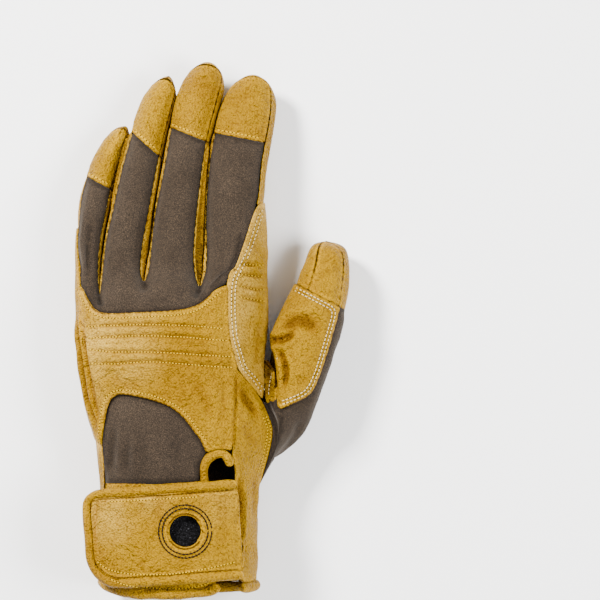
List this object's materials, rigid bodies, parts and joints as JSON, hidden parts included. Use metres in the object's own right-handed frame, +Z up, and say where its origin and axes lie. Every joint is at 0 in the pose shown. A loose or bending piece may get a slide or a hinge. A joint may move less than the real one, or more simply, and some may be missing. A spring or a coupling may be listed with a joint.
{
  "type": "climbing glove",
  "caption": "Left-hand leather glove for rope work, lying palm down, with stretch fabric on its back, a quilted knuckle patch and a closing tab with a carry hole.",
  "frame": {"origin": "middle of the bounding box at the surface the glove lies on", "axes": "+X to the thumb's side, +Y towards the fingertips, +Z up through the back of the hand"},
  "size_m": [0.132, 0.2578, 0.0446],
  "materials": {
    "golden_leather": "matte",
    "binding_leather": "matte",
    "dark_leather": "matte",
    "brown_stretch_fabric": "matte",
    "black_loop_tape": "matte"
  },
  "bodies": {
    "root": {"cuff_back": "golden_leather", "cuff_tab": "golden_leather", "fingertip_band_little": "golden_leather", "fingertip_band_ring": "golden_leather", "fingertip_band_middle": "golden_leather", "fingertip_band_index": "golden_leather", "fingertip_cap_little": "golden_leather", "fingertip_cap_ring": "golden_leather", "fingertip_cap_middle": "golden_leather", "fingertip_cap_index": "golden_leather", "knuckle_patch": "golden_leather", "palm_heel": "golden_leather", "palm_panel": "golden_leather", "thumb_front": "golden_leather", "thumb_guard": "golden_leather", "thumb_tip_front": "golden_leather", "thumb_tip_back": "golden_leather", "thumb_tip_band": "golden_leather", "web_patch": "golden_leather", "finger_front_little": "golden_leather", "finger_front_ring": "golden_leather", "finger_front_middle": "golden_leather", "finger_front_index": "golden_leather", "hem_piping": "binding_leather", "slit_piping": "binding_leather", "tab_piping": "binding_leather", "fourchette_little_ring": "dark_leather", "fourchette_ring_middle": "dark_leather", "fourchette_middle_index": "dark_leather", "back_panel": "brown_stretch_fabric", "wrist_back_panel": "brown_stretch_fabric", "thumb_back": "brown_stretch_fabric", "loop_patch": "black_loop_tape"}
  },
  "joints": []
}
